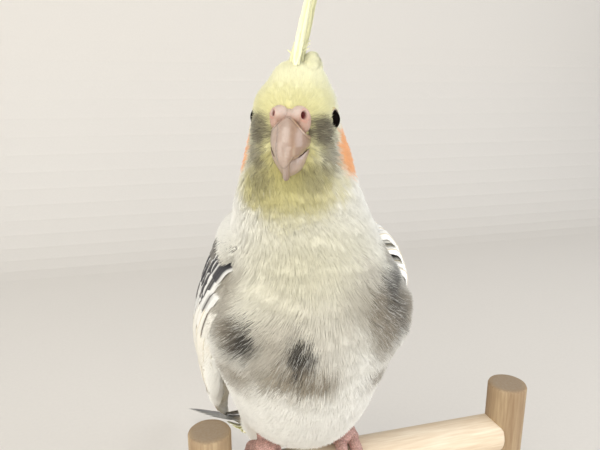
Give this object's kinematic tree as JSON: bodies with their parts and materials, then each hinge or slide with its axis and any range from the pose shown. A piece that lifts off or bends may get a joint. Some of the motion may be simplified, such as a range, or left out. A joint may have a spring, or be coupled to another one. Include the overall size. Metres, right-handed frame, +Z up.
{
  "type": "cockatiel",
  "caption": "Life-size cockatiel with a raised crest, perched on a short wooden dowel between two upright rods on a flat base.",
  "frame": {"origin": "centre of the underside of the base", "axes": "+Z up, the perch along X, the bird faces -Y with its left side towards +X"},
  "size_m": [0.164, 0.2079, 0.2741],
  "materials": {
    "stand_wood": "satin",
    "perch_wood": "matt",
    "head_feathers": "matt",
    "crest_feathers": "matt",
    "breast_feathers": "matt",
    "wing_feathers": "matt",
    "tail_feathers": "matt",
    "bare_skin": "satin",
    "foot_skin": "matt",
    "horn": "satin",
    "eye": "gloss",
    "claw": "satin"
  },
  "bodies": {
    "root": {"stand_base": "stand_wood", "stand_rod_left": "perch_wood", "stand_rod_right": "perch_wood", "perch": "perch_wood", "head": "head_feathers", "crest": "crest_feathers", "cere": "bare_skin", "beak_upper": "horn", "beak_lower": "horn", "eye_left": "eye", "eye_right": "eye", "neck": "breast_feathers", "torso": "breast_feathers", "tail": "tail_feathers", "wing_left": "wing_feathers", "wing_right": "wing_feathers", "leg_left": "breast_feathers", "leg_right": "breast_feathers", "foot_left": "foot_skin", "foot_right": "foot_skin", "claw_left_1": "claw", "claw_left_2": "claw", "claw_left_3": "claw", "claw_left_4": "claw", "claw_right_1": "claw", "claw_right_2": "claw", "claw_right_3": "claw", "claw_right_4": "claw"}
  },
  "joints": []
}
